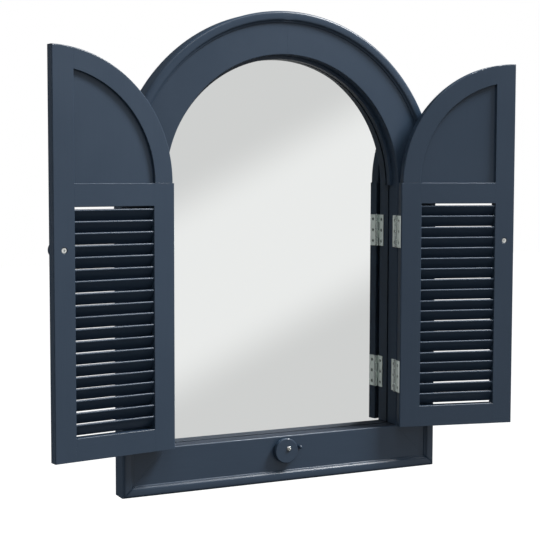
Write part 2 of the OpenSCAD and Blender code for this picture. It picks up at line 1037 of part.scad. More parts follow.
module mortises() {
    tenons(shutter_foot, slats_y0, tenon_play);
    tenons(slats_y1, shutter_top - panel_lap, tenon_play);
}

// Hinge stile, with the housings for the slats down its inner edge
module hinge_stile(side) {
    color(paint)
        at_hinge(side, open_angle(side))
            difference() {
                stile_bar(axis_gap, hinge_stile_w, shutter_foot, shutter_top, false);
                at_slats(side)
                    slat_bar(slats_x0 - housing_d - slat_play, slats_x0 + over, slat_play);
                ease_upright(slats_x0, slats_y0, slats_y1);
                mortises();
                panel_slab(panel_play);
                at_shutter_screws()
                    leaf_screw(screw_play);
            }
}

module hinge_stile_left() {
    hinge_stile("left");
}

module hinge_stile_right() {
    hinge_stile("right");
}

// Meeting stile: it runs up to the crown and its top follows the arch
module meeting_stile(side) {
    color(paint)
        at_hinge(side, open_angle(side))
            difference() {
                union() {
                    stile_bar(slats_x1, meeting_stile_w, shutter_foot, shutter_top, true);
                    intersection() {
                        stile_bar(slats_x1, meeting_stile_w, shutter_top,
                            shutter_top + shutter_arch_r + over, true);
                        arch_body();
                    }
                }
                at_slats(side)
                    slat_bar(slats_x1 - over, slats_x1 + housing_d + slat_play, slat_play);
                ease_upright(slats_x1, slats_y0, slats_y1);
                ease_upright(slats_x1, shutter_top, shutter_top + panel_rise);
                mortises();
                panel_slab(panel_play);
                translate([knob_x, knob_y, inner_face])
                    knob_screw_hole();
            }
}

module meeting_stile_left() {
    meeting_stile("left");
}

module meeting_stile_right() {
    meeting_stile("right");
}

// Curved rail: a quarter ring from the hinge stile up to the meeting stile
module curved_rail(side) {
    reach = shutter_arch_r + over;
    color(paint)
        at_hinge(side, open_angle(side))
            difference() {
                arch_body();
                translate([free_x, shutter_top, inner_face - over])
                    cylinder(r = panel_r, h = shutter_t + 2 * over);
                translate([slats_x1, shutter_top - over, inner_face - over])
                    cube([reach, reach + over, shutter_t + 2 * over]);
                for (z = [inner_face, -face_gap])
                    translate([free_x, shutter_top, z])
                        rotate_extrude()
                            translate([panel_r, 0])
                                rotate(45)
                                    square(ease_w * sqrt(2), center = true);
                panel_slab(panel_play);
            }
}

module curved_rail_left() {
    curved_rail("left");
}

module curved_rail_right() {
    curved_rail("right");
}

// Middle rail: its top edge is the straight side of the arched recess
module mid_rail(side) {
    color(paint)
        at_hinge(side, open_angle(side))
            difference() {
                rail(slats_y1, shutter_top, panel_lap);
                ease_level(slats_x0, slats_x1, slats_y1);
                ease_level(slats_x0, slats_x1, shutter_top);
                panel_slab(panel_play);
            }
}

module mid_rail_left() {
    mid_rail("left");
}

module mid_rail_right() {
    mid_rail("right");
}

module low_rail(side) {
    color(paint)
        at_hinge(side, open_angle(side))
            difference() {
                rail(shutter_foot, slats_y0, 0);
                ease_level(slats_x0, slats_x1, slats_y0);
            }
}

module low_rail_left() {
    low_rail("left");
}

module low_rail_right() {
    low_rail("right");
}

module arched_panel_left() {
    color(paint)
        at_hinge("left", open_angle("left"))
            panel_slab();
}

module arched_panel_right() {
    color(paint)
        at_hinge("right", open_angle("right"))
            panel_slab();
}

// Fixed slats, let into the housings of both stiles
module louvres(side) {
    color(paint)
        at_hinge(side, open_angle(side))
            at_slats(side)
                slat_bar(slats_x0 - housing_d, slats_x1 + housing_d);
}

module louvres_left() {
    louvres("left");
}

module louvres_right() {
    louvres("right");
}

// Turned knob on the outer face, held by a screw from the inner face
module knob(side) {
    rim_x = knob_r - knob_rim_r;
    rim_y = knob_len - knob_rim_r - knob_crown;
    color(paint)
        at_hinge(side, open_angle(side))
            translate([knob_x, knob_y, -face_gap])
                difference() {
                    rotate_extrude() {
                        square([knob_neck_r, rim_y]);
                        polygon([
                            [0, rim_y - knob_rim_r],
                            [rim_x, rim_y - knob_rim_r],
                            [rim_x, rim_y + knob_rim_r],
                            [0, knob_len]
                        ]);
                        translate([rim_x, rim_y])
                            circle(r = knob_rim_r);
                    }
                    translate([0, 0, -over])
                        cylinder(r = stout_screw_r + screw_play, h = knob_grip + over + screw_play);
                }
}

module knob_left() {
    knob("left");
}

module knob_right() {
    knob("right");
}

// Screw through the meeting stile into the knob: its head is sunk in the inner face
module knob_screw_solid(grow = 0) {
    translate([0, 0, head_sink])
        mirror([0, 0, 1])
            difference() {
                screw(stout_screw_r, stout_head_r, shutter_t - head_sink + knob_grip, grow);
                if (grow == 0) {
                    cross_recess(0);
                }
            }
}

// Hole for that screw, with a counterbore for its head
module knob_screw_hole() {
    knob_screw_solid(screw_play);
    translate([0, 0, -over])
        cylinder(r = stout_head_r + head_gap, h = head_sink + over);
}

module knob_screw(side) {
    color(plated)
        at_hinge(side, open_angle(side))
            translate([knob_x, knob_y, inner_face])
                knob_screw_solid();
}

module knob_screw_left() {
    knob_screw("left");
}

module knob_screw_right() {
    knob_screw("right");
}

arch_left();
arch_right();
stile_left();
stile_right();
bottom_rail();
frame_dowels();
arch_stop();
mirror_glass();
back_board();
board_screws();
hanger_plates();
hanger_screws();
stop_peg();
pivot_washer();
pivot_screw();
turn_button();
jamb_leaf_low_left();
jamb_leaf_high_left();
jamb_leaf_low_right();
jamb_leaf_high_right();
hinge_pin_low_left();
hinge_pin_high_left();
hinge_pin_low_right();
hinge_pin_high_right();
jamb_leaf_screws();
hinge_stile_left();
meeting_stile_left();
curved_rail_left();
mid_rail_left();
low_rail_left();
arched_panel_left();
louvres_left();
knob_left();
knob_screw_left();
shutter_leaf_low_left();
shutter_leaf_high_left();
shutter_leaf_screws_left();
hinge_stile_right();
meeting_stile_right();
curved_rail_right();
mid_rail_right();
low_rail_right();
arched_panel_right();
louvres_right();
knob_right();
knob_screw_right();
shutter_leaf_low_right();
shutter_leaf_high_right();
shutter_leaf_screws_right();
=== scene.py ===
import math

import bpy
from mathutils import Matrix, Vector


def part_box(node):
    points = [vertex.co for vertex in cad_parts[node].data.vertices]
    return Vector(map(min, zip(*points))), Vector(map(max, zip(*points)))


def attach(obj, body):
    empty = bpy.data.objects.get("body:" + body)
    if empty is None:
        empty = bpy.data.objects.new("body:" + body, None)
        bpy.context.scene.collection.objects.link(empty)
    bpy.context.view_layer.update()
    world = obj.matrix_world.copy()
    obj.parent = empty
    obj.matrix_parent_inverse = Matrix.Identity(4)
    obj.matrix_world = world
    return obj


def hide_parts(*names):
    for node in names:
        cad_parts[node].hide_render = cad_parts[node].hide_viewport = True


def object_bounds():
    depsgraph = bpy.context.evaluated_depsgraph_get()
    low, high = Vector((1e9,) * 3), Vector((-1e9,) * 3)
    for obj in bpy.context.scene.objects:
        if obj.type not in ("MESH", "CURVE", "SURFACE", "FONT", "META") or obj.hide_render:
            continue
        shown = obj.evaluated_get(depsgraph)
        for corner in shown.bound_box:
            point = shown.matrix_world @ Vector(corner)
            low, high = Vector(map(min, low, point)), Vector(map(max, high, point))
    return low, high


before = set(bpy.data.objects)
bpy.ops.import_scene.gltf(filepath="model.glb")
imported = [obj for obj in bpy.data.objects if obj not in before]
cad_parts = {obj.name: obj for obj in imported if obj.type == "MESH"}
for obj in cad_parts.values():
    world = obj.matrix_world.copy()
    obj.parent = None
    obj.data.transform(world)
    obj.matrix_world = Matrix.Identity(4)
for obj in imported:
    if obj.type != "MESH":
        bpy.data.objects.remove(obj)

cad_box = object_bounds()


# ---- Camera ----
# The mirror hangs at eye height and is seen from the left of its middle, through a long lens,
# from a little above the hanging holes.
eye = Vector((-0.8934, -1.7983, 0.0564))
eye_turn = math.radians(26.05)
eye_dip = math.radians(-4.16)
eye_lean = math.radians(0.12)

bpy.ops.object.select_all(action="DESELECT")
bpy.ops.object.camera_add(location=eye)
camera = bpy.context.object
camera.name = "camera"
camera.data.lens = 87.43
camera.data.sensor_width = 36
camera.data.clip_end = 40
aim = (
    Matrix.Rotation(-eye_turn, 4, "Z")
    @ Matrix.Rotation(math.pi / 2 + eye_dip, 4, "X")
    @ Matrix.Rotation(eye_lean, 4, "Z")
)
camera.matrix_world = Matrix.Translation(eye) @ aim
bpy.context.scene.camera = camera


# ---- Studio ----
# A white room with a pale floor below the mirror, a soft lamp high on the right, a weak one above,
# and faint light all round. The mirror faces the pale half of the room, on its right, which has
# one broad brighter band across it. The rest of the room looks dim in glass and metal.
class Wire:
    """One output of a shader node. Sums written with it add Math nodes, node() adds any other."""

    def __init__(self, tree, socket=None):
        self.tree = tree
        self.socket = socket

    def node(self, kind, settings=None, inputs=None, output=0):
        made = self.tree.nodes.new(kind)
        for name, value in (settings or {}).items():
            setattr(made, name, value)
        for name, value in (inputs or {}).items():
            if isinstance(value, Wire):
                self.tree.links.new(value.socket, made.inputs[name])
            else:
                made.inputs[name].default_value = value
        return Wire(self.tree, made.outputs[output] if made.outputs else None)

    def maths(self, operation, *values):
        return self.node("ShaderNodeMath", {"operation": operation}, dict(enumerate(values)))

    def mix(self, share, low, high):
        return self.node(
            "ShaderNodeMix", {"data_type": "RGBA"}, {0: share, 6: low, 7: high}, output=2
        )

    def __add__(self, other):
        return self.maths("ADD", self, other)

    __radd__ = __add__

    def __sub__(self, other):
        return self.maths("SUBTRACT", self, other)

    def __rsub__(self, other):
        return self.maths("SUBTRACT", other, self)

    def __mul__(self, other):
        return self.maths("MULTIPLY", self, other)

    __rmul__ = __mul__


def outputs(wire, *names):
    """The named outputs of the node that a wire comes from."""
    return [Wire(wire.tree, wire.socket.node.outputs[name]) for name in names]


def ramp(value, low, high):
    """Rises smoothly from 0 to 1 while the value goes from low to high."""
    return value.node(
        "ShaderNodeMapRange",
        {"interpolation_type": "SMOOTHSTEP"},
        {"Value": value, "From Min": low, "From Max": high},
    )


# Strengths of the room: as the camera sees it, and as glass and metal see it.
room_white = 1.0
wall_low = 0.66
wall_high = 0.87
dim = 0.05
dim_left = 0.13
dim_above = 0.25
# The bright band: half its width, the softness of its edge, and how it stands.
band_half = math.radians(3.4)
band_blur = math.radians(1.6)
band_turn = math.radians(25.4)
band_dip = math.radians(-3.5)
band_slope = math.radians(29)
# Where the pale half begins on each side, as the sines of two directions that it fades between.
front_edge = (0.05, -0.3)
right_edge = (-0.22, 0.2)
low_edge = (-0.62, -0.3)
high_edge = (0.3, 0.12)
# Light on matt surfaces: its strength from each side, and the sines that it fades between.
fill_all_round = 0.05
fill_front = 0.4
front_reach = (0.3, -0.9)
fill_above = 0.22
above_reach = (0, 0.9)
fill_left = 0.3
left_reach = (0, -0.8)
fill_back = 0.16
back_reach = (0.1, 0.8)
# A strong light from behind on the left brings out the left edges of the frame and the shutter.
fill_behind = 2.4
behind_reach = (-0.1, 0.5)
behind_left_reach = (0, -0.7)

room = bpy.data.worlds.new("studio_room")
bpy.context.scene.world = room
room.use_nodes = True
room.node_tree.nodes.clear()
wall = Wire(room.node_tree)
outward = Vector((math.sin(band_turn), -math.cos(band_turn), 0))
level = Vector((math.cos(band_turn), math.sin(band_turn), 0))
up_there = outward * -math.sin(band_dip) + Vector((0, 0, 1)) * math.cos(band_dip)
across_band = up_there * math.cos(band_slope) - level * math.sin(band_slope)
sight = wall.node("ShaderNodeTexCoord", output="Generated")
offset = wall.node(
    "ShaderNodeVectorMath", {"operation": "DOT_PRODUCT"}, {0: sight, 1: across_band}, output="Value"
)
band = wall.node(
    "ShaderNodeMapRange",
    {"interpolation_type": "SMOOTHERSTEP"},
    {
        "Value": wall.maths("ABSOLUTE", offset),
        "From Min": band_half - band_blur,
        "From Max": band_half + band_blur,
        "To Min": wall_high,
        "To Max": wall_low,
    },
)
apart = wall.node("ShaderNodeSeparateXYZ", inputs={"Vector": sight})
rightward, backward, height = outputs(apart, "X", "Y", "Z")
in_front = ramp(backward, *front_edge)
on_right = ramp(rightward, *right_edge)
not_below = ramp(height, *low_edge)
not_above = dim_above + (1 - dim_above) * ramp(height, *high_edge)
pale_half = in_front * not_below * not_above * (dim_left + (1 - dim_left) * on_right)
shown = dim + (band - dim) * pale_half
fill = (
    fill_all_round
    + fill_front * ramp(backward, *front_reach)
    + fill_above * ramp(height, *above_reach)
    + fill_left * ramp(rightward, *left_reach)
    + fill_back * ramp(backward, *back_reach)
    + fill_behind * ramp(backward, *behind_reach) * ramp(rightward, *behind_left_reach)
)
rays = wall.node("ShaderNodeLightPath", output="Is Camera Ray")
mirrored = wall.maths("MAXIMUM", *outputs(rays, "Is Glossy Ray", "Is Transmission Ray"))
seen = rays * room_white + (1 - rays) * (mirrored * shown + (1 - mirrored) * fill)
light = wall.node("ShaderNodeBackground", inputs={"Color": (1, 1, 1, 1), "Strength": seen})
wall.node("ShaderNodeOutputWorld", inputs={"Surface": light})


def new_finish(name):
    """An empty material and the wire that its nodes start from."""
    finish = bpy.data.materials.new(name)
    finish.use_nodes = True
    finish.node_tree.nodes.clear()
    return finish, Wire(finish.node_tree)


floor_drop = 0.75
floor_reach = 30
floor_glow = 0.96
floor_grey = 0.16
low_z = cad_box[0][2]
bpy.ops.object.select_all(action="DESELECT")
bpy.ops.mesh.primitive_plane_add(size=floor_reach, location=(0, 0, low_z - floor_drop))
floor = bpy.context.object
floor.name = "studio_floor"
floor_paint, wire = new_finish("floor_paint")
matt = wire.node("ShaderNodeBsdfDiffuse", inputs={"Color": (floor_grey, floor_grey, floor_grey, 1)})
rays = wire.node("ShaderNodeLightPath", output="Is Camera Ray")
glow = wire.node("ShaderNodeEmission", inputs={"Strength": rays * floor_glow})
pale = wire.node("ShaderNodeAddShader", inputs={0: matt, 1: glow})
mirrored = wire.maths("MAXIMUM", *outputs(rays, "Is Glossy Ray", "Is Transmission Ray"))
open_air = wire.node("ShaderNodeBsdfTransparent")
surface = wire.node("ShaderNodeMixShader", inputs={0: mirrored, 1: pale, 2: open_air})
wire.node("ShaderNodeOutputMaterial", inputs={"Surface": surface})
floor.data.materials.append(floor_paint)


def lamp(name, place, size, power):
    """A square soft lamp that faces the middle of the mirror."""
    bpy.ops.object.select_all(action="DESELECT")
    bpy.ops.object.light_add(type="AREA", location=place)
    made = bpy.context.object
    made.name = name
    made.data.size = size
    made.data.energy = power
    made.rotation_euler = (-Vector(place)).to_track_quat("-Z", "Y").to_euler()


lamp("key_lamp", place=(1.75, -0.85, 2.15), size=0.8, power=182)
lamp("top_lamp", place=(-0.3, -1.2, 2.2), size=0.9, power=14)


# ---- Painted frame ----
# Two arch segments, two stiles and a bottom rail of solid wood, moulded along their outer edge,
# dowelled and glued, and a thin strip bent round the inside of the arch. All are sprayed with a
# satin navy paint. The grain runs along the straight pieces.
navy_deep = (0.015, 0.030, 0.053, 1)
navy_pale = (0.027, 0.046, 0.075, 1)
# A deeper navy that is painted on the sill as painted shade.
painted_sill_shade = (0.008, 0.016, 0.030, 1)
# The arch: the radius of its outer edge and the height of its centre, where it joins the stiles.
arch_r = 0.265
arch_z = 0.035
# The soft slope fades out near those joints and at the crown, and nowhere well below the arch.
fade_z = 0.040
fade_width = (0.003, 0.012)
below_arch = fade_z - 0.1
# The moulding: its width, and how its soft slope fades in from both sides.
rim_w = 0.0175
rim_outer = (0.0015, 0.005)
rim_inner = (rim_w, rim_w - 0.002)
# The sill, which is the top of the bottom rail before the glass, is duller, and its colour is painted
# darker as painted shade.
foot_z = cad_box[0][2]
sill_z = foot_z + 0.0695
sill_low = (sill_z - 0.0015, sill_z)
sill_high = (sill_z + 0.002, sill_z + 0.001)
sill_front = (-0.0275, -0.0255)
sill_dulling = 0.45
# The paint: how much of its mottling is cloud and not grain, its roughness and how far that
# varies, and how round it lies over edges.
clouding = 0.7
satin = 0.34
satin_spread = 0.12
slope_polish = 0.07
crisp_edge = 0.0006
soft_rim = 0.0045


def on_rim(place, across, height):
    """1 on the inner slope of the moulding round the arch, down the stiles and along the foot."""
    above = place.maths("MAXIMUM", height - arch_z, 0)
    reach = place.maths("SQRT", across * across + above * above)
    inward = place.maths("MINIMUM", arch_r - reach, height - foot_z)
    off_crown = ramp(place.maths("ABSOLUTE", across), *fade_width)
    off_joint = ramp(place.maths("ABSOLUTE", height - fade_z), *fade_width)
    return ramp(inward, *rim_outer) * ramp(inward, *rim_inner) * place.maths(
        "MAXIMUM", off_crown * off_joint, place.maths("LESS_THAN", height, below_arch)
    )


def navy_paint(name, stretch, turn=0.0, moulded=False):
    """Satin navy over wood whose grain is stretched by the three scales, in lines per metre."""
    finish, wire = new_finish(name)
    place = wire.node("ShaderNodeTexCoord", output="Object")
    along = wire.node(
        "ShaderNodeMapping", inputs={"Vector": place, "Rotation": (0, 0, turn), "Scale": stretch}
    )
    grain = wire.node("ShaderNodeTexNoise", inputs={"Vector": along, "Scale": 1, "Detail": 4})
    cloud = wire.node("ShaderNodeTexNoise", inputs={"Vector": place, "Scale": 9, "Detail": 3})
    spray = wire.node("ShaderNodeTexNoise", inputs={"Vector": place, "Scale": 700, "Detail": 2})
    colour = wire.mix(cloud * clouding + grain * (1 - clouding), navy_deep, navy_pale)
    edge = wire.node("ShaderNodeBevel", {"samples": 4}, {"Radius": crisp_edge})
    gloss = satin + cloud * satin_spread
    if moulded:
        wide = wire.node("ShaderNodeBevel", {"samples": 12}, {"Radius": soft_rim})
        apart = wire.node("ShaderNodeSeparateXYZ", inputs={"Vector": place})
        across, depth, height = outputs(apart, "X", "Y", "Z")
        slope = on_rim(place, across, height)
        edge = wire.node(
            "ShaderNodeMix", {"data_type": "VECTOR"}, {0: slope, 4: edge, 5: wide}, output=1
        )
        # Painted shade: the sill's colour is mixed toward the deep navy, and its roughness is raised.
        sill_shade_mask = ramp(height, *sill_low) * ramp(height, *sill_high) * ramp(depth, *sill_front)
        colour = wire.mix(sill_shade_mask, colour, painted_sill_shade)
        gloss = gloss + sill_shade_mask * sill_dulling - slope * slope_polish
    relief = wire.node(
        "ShaderNodeBump",
        inputs={"Strength": 0.5, "Distance": 0.0001, "Height": grain + spray * 0.4, "Normal": edge},
    )
    shader = wire.node(
        "ShaderNodeBsdfPrincipled",
        inputs={
            "Base Color": colour,
            "Roughness": gloss,
            "Specular IOR Level": 0.4,
            "Normal": relief,
        },
    )
    wire.node("ShaderNodeOutputMaterial", inputs={"Surface": shader})
    return finish


def dress(finish, *nodes):
    """Gives CAD nodes their finish."""
    for name in nodes:
        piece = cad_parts[name]
        for seat in piece.material_slots:
            seat.material = finish


fine = 420
coarse = 14
bent = 60
dress(
    navy_paint("navy_paint_upright", (fine, fine, coarse), moulded=True), "stile_left", "stile_right"
)
dress(navy_paint("navy_paint_level", (coarse, fine, fine), moulded=True), "bottom_rail")
dress(navy_paint("navy_paint_arch", (bent, fine, bent), moulded=True), "arch_left", "arch_right")
dress(navy_paint("navy_paint_strip", (bent, fine, bent)), "arch_stop")


# ---- Dowels ----
# Turned beech dowels, left bare. They are glued into the joints of the arch, and nothing of them
# shows once the frame is together.
beech_pale = (0.60, 0.42, 0.26, 1)
beech_dark = (0.38, 0.24, 0.13, 1)


def bare_timber(name, pale, dark, stretch):
    """Unpainted wood, dry and open in its grain, which is stretched as in navy_paint."""
    finish, wire = new_finish(name)
    place = wire.node("ShaderNodeTexCoord", output="Object")
    along = wire.node("ShaderNodeMapping", inputs={"Vector": place, "Scale": stretch})
    grain = wire.node("ShaderNodeTexNoise", inputs={"Vector": along, "Scale": 1, "Detail": 6})
    relief = wire.node(
        "ShaderNodeBump", inputs={"Strength": 0.6, "Distance": 0.0002, "Height": grain}
    )
    shader = wire.node(
        "ShaderNodeBsdfPrincipled",
        inputs={
            "Base Color": wire.mix(grain, dark, pale),
            "Roughness": 0.6 + grain * 0.2,
            "Normal": relief,
        },
    )
    wire.node("ShaderNodeOutputMaterial", inputs={"Surface": shader})
    return finish


dress(bare_timber("beech_dowel", beech_pale, beech_dark, (300, 300, 60)), "frame_dowels")


# ---- Mirror glass ----
# Float glass, silvered on its back, in a rebate behind the frame. Seen through the glass, the
# silver seems to lie two thirds of the glass's thickness behind its front, so the front face of
# the piece stands there. Its sawn edge shows the green of the glass.
apparent_depth = 0.00197
silver_tone = (0.94, 0.955, 0.945, 1)
glass_edge = (0.18, 0.36, 0.30, 1)
edge_rough = 0.16
silver_rough = 0.01


def pick_faces(piece, wanted):
    """Leaves a piece in edit mode with only those faces selected that wanted() says yes to."""
    bpy.ops.object.mode_set(mode="EDIT")
    bpy.ops.mesh.select_mode(type="FACE")
    bpy.ops.mesh.select_all(action="DESELECT")
    bpy.ops.object.mode_set(mode="OBJECT")
    for face in piece.data.polygons:
        face.select = wanted(face)
    bpy.ops.object.mode_set(mode="EDIT")


bpy.ops.object.select_all(action="DESELECT")
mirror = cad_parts["mirror_glass"].copy()
mirror.data = mirror.data.copy()
mirror.name = "silvered_mirror"
mirror.parent = None
bpy.context.scene.collection.objects.link(mirror)
mirror.select_set(True)
bpy.context.view_layer.objects.active = mirror
bpy.ops.object.mode_set(mode="EDIT")
bpy.ops.mesh.select_all(action="SELECT")
bpy.ops.mesh.remove_doubles(threshold=0.00001)
pick_faces(mirror, lambda face: face.normal.y < -0.9)
bpy.ops.transform.translate(value=(0, apparent_depth, 0))
bpy.ops.object.mode_set(mode="OBJECT")

silver, wire = new_finish("silvered_glass")
place = wire.node("ShaderNodeTexCoord", output="Object")
haze = wire.node("ShaderNodeTexNoise", inputs={"Vector": place, "Scale": 5, "Detail": 2})
facing = wire.node("ShaderNodeTexCoord", output="Normal")
facing = wire.node("ShaderNodeSeparateXYZ", inputs={"Vector": facing}, output="Y")
flat = wire.maths("GREATER_THAN", wire.maths("ABSOLUTE", facing), 0.5)
shader = wire.node(
    "ShaderNodeBsdfPrincipled",
    inputs={
        "Base Color": wire.mix(flat, glass_edge, silver_tone),
        "Metallic": flat,
        "Roughness": edge_rough - flat * (edge_rough - silver_rough) + haze * silver_rough,
    },
)
wire.node("ShaderNodeOutputMaterial", inputs={"Surface": shader})
mirror.data.materials.clear()
mirror.data.materials.append(silver)
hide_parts("mirror_glass")
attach(mirror, "frame")


# ---- Backing board ----
# Thin hardboard, brown and faintly flecked. It is planted on the back of the frame, over the
# glass, and screwed down round its rim.
board_dark = (0.13, 0.075, 0.038, 1)
board_pale = (0.32, 0.20, 0.11, 1)
hardboard, wire = new_finish("hardboard")
place = wire.node("ShaderNodeTexCoord", output="Object")
fleck = wire.node("ShaderNodeTexNoise", inputs={"Vector": place, "Scale": 500, "Detail": 5})
press = wire.node("ShaderNodeTexNoise", inputs={"Vector": place, "Scale": 20, "Detail": 3})
relief = wire.node("ShaderNodeBump", inputs={"Strength": 0.7, "Distance": 0.0002, "Height": fleck})
shader = wire.node(
    "ShaderNodeBsdfPrincipled",
    inputs={
        "Base Color": wire.mix(fleck * 0.6 + press * 0.4, board_dark, board_pale),
        "Roughness": 0.62 + press * 0.15,
        "Normal": relief,
    },
)
wire.node("ShaderNodeOutputMaterial", inputs={"Surface": shader})
dress(hardboard, "back_board")


# ---- Hinges and plates ----
# Butt hinges and keyhole plates, pressed from sheet steel and plated bright, so that they shine
# faintly green. The pins and the washer are turned and brighter, and so are the rubbed barrels.
axis_x = 0.192
axis_y = -0.0312
barrel_r = 0.0031
barrel_blur = 0.0002
barrel_metal = 0.95
barrel_polish = 0.09
dulling = 0.86


def plated_steel(name, colour, gloss, metal=1.0, barrels=False):
    """Plated steel, finely drawn. With barrels, what lies round a hinge's pin is barer metal."""
    finish, wire = new_finish(name)
    place = wire.node("ShaderNodeTexCoord", output="Object")
    if barrels:
        apart = wire.node("ShaderNodeSeparateXYZ", inputs={"Vector": place})
        across, depth = outputs(apart, "X", "Y")
        aside = wire.maths("ABSOLUTE", across) - axis_x
        reach = wire.maths("SQRT", aside * aside + (depth - axis_y) * (depth - axis_y))
        barrel = ramp(reach, barrel_r + barrel_blur, barrel_r)
        metal = metal + barrel * (barrel_metal - metal)
        gloss = gloss - barrel * barrel_polish
    draw = wire.node("ShaderNodeTexNoise", inputs={"Vector": place, "Scale": 600, "Detail": 3})
    cloud = wire.node("ShaderNodeTexNoise", inputs={"Vector": place, "Scale": 120, "Detail": 2})
    dull = tuple(part * dulling for part in colour[:3]) + (1,)
    edge = wire.node("ShaderNodeBevel", {"samples": 4}, {"Radius": 0.0003})
    relief = wire.node(
        "ShaderNodeBump",
        inputs={"Strength": 0.4, "Distance": 0.00001, "Height": draw, "Normal": edge},
    )
    shader = wire.node(
        "ShaderNodeBsdfPrincipled",
        inputs={
            "Base Color": wire.mix(cloud, dull, colour),
            "Metallic": metal,
            "Roughness": gloss + draw * 0.1,
            "Normal": relief,
        },
    )
    wire.node("ShaderNodeOutputMaterial", inputs={"Surface": shader})
    return finish


leaf_steel = plated_steel("leaf_steel", (0.90, 0.99, 0.95, 1), gloss=0.2, metal=0.25, barrels=True)
turned_steel = plated_steel("turned_steel", (0.86, 0.88, 0.86, 1), gloss=0.14)
screw_steel = plated_steel("screw_steel", (0.46, 0.50, 0.48, 1), gloss=0.22)
dress(leaf_steel, "hanger_plates")
dress(turned_steel, "pivot_washer")
for side in ("left", "right"):
    for row in ("low", "high"):
        dress(leaf_steel, f"jamb_leaf_{row}_{side}", f"shutter_leaf_{row}_{side}")
        dress(turned_steel, f"hinge_pin_{row}_{side}")


# ---- Screws ----
# Countersunk steel screws with a cross recess and a turned point: short ones in the hinge leaves,
# thin ones in the back, stout ones through the shutters into the knobs, and one with a domed head
# that the turn button runs on. Each size is turned and punched once, and the rest are its copies.
def turned_blank(name, shank_r, length, rings):
    """A shank along -Z with a point, built up from its top by rings of (radius, height)."""
    point = 2.2 * shank_r
    tip_share = 0.12
    base = rings[0][1]
    bpy.ops.object.select_all(action="DESELECT")
    bpy.ops.mesh.primitive_cylinder_add(
        vertices=28,
        radius=shank_r,
        depth=length + base - point,
        location=(0, 0, (base - length + point) / 2),
    )
    blank = bpy.context.object
    blank.name = name
    bpy.ops.object.transform_apply(location=True, rotation=True, scale=True)
    pick_faces(blank, lambda face: face.normal.z > 0.9)
    last_r, last_z = shank_r, base
    for ring_r, ring_z in rings:
        bpy.ops.mesh.extrude_region_move(
            TRANSFORM_OT_translate={"value": (0, 0, ring_z - last_z)}
        )
        stretch = ring_r / last_r
        bpy.ops.transform.resize(value=(stretch, stretch, 1), center_override=(0, 0, ring_z))
        last_r, last_z = ring_r, ring_z
    pick_faces(blank, lambda face: face.normal.z < -0.9 and face.center.z < base - length / 3)
    bpy.ops.mesh.extrude_region_move(TRANSFORM_OT_translate={"value": (0, 0, -point)})
    bpy.ops.transform.resize(value=(tip_share, tip_share, 1), center_override=(0, 0, -length))
    bpy.ops.mesh.select_all(action="SELECT")
    bpy.ops.mesh.remove_doubles(threshold=0.000001)
    bpy.ops.mesh.normals_make_consistent(inside=False)
    bpy.ops.object.mode_set(mode="OBJECT")
    return blank


def punch_cross(blank, top, head_r):
    """Punches the cross recess: two tapered arms cut down into the head."""
    arm, slit, deep = 0.64 * head_r, 0.2 * head_r, 0.7 * head_r
    taper = 0.45
    for long_x, long_y in ((arm, slit), (slit, arm)):
        bpy.ops.object.select_all(action="DESELECT")
        bpy.ops.mesh.primitive_cube_add(size=2, location=(0, 0, top), scale=(long_x, long_y, deep))
        punch = bpy.context.object
        bpy.ops.object.transform_apply(location=True, rotation=True, scale=True)
        pick_faces(punch, lambda face: face.normal.z < -0.9)
        bpy.ops.transform.resize(value=(taper, taper, 1), center_override=(0, 0, top - deep))
        bpy.ops.object.mode_set(mode="OBJECT")
        bpy.ops.object.select_all(action="DESELECT")
        bpy.context.view_layer.objects.active = blank
        cut = blank.modifiers.new("cross", "BOOLEAN")
        cut.operation = "DIFFERENCE"
        cut.solver = "EXACT"
        cut.object = punch
        bpy.ops.object.modifier_apply(modifier=cut.name)
        bpy.data.objects.remove(punch)


def countersunk(name, shank_r, head_r, length):
    """A screw whose head sinks flush, with a low crown. Its rings are shares of the head's radius."""
    rim_drop, crown = 0.12, 0.06
    blank = turned_blank(
        name,
        shank_r,
        length,
        (
            (shank_r, shank_r - head_r),
            (head_r, -rim_drop * head_r),
            (head_r, 0),
            (0.9 * head_r, 0.02 * head_r),
            (0.5 * head_r, crown * head_r),
        ),
    )
    punch_cross(blank, crown * head_r, head_r)
    return blank


def drive(name, blank, seats, body, finish, *nodes):
    """Copies a screw to each seat, a place and the way its head faces, and joins the copies."""
    copies = []
    for place, facing in seats:
        one = blank.copy()
        one.data = blank.data.copy()
        bpy.context.scene.collection.objects.link(one)
        turn = Vector(facing).to_track_quat("Z", "Y").to_matrix().to_4x4()
        one.data.transform(Matrix.Translation(Vector(place)) @ turn)
        copies.append(one)
    bpy.ops.object.select_all(action="DESELECT")
    for one in copies:
        one.select_set(True)
    group = copies[0]
    bpy.context.view_layer.objects.active = group
    if len(copies) > 1:
        bpy.ops.object.join()
    group.name = name
    bpy.ops.object.shade_smooth_by_angle(angle=math.radians(30))
    group.data.materials.clear()
    group.data.materials.append(finish)
    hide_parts(*nodes)
    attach(group, body)
    return group


# Heights in the lists below are above the frame's foot. The hanging holes are this far up.
holes_z = 0.4115
jamb_x = 0.1943
leaf_gap = 0.0003
leaf_seat_y = -0.02165
leaf_screw_pitch = 0.0175
hinge_heights = (0.150, 0.379)
leaf_screw_z = [
    height + step * leaf_screw_pitch - holes_z for height in hinge_heights for step in (-1, 0, 1)
]
leaf_screw = countersunk("leaf_screw", shank_r=0.0013, head_r=0.0025, length=0.012)
drive(
    "hinge_screws_frame",
    leaf_screw,
    [((way * jamb_x, leaf_seat_y, z), (-way, 0, 0)) for way in (-1, 1) for z in leaf_screw_z],
    "frame",
    screw_steel,
    "jamb_leaf_screws",
)


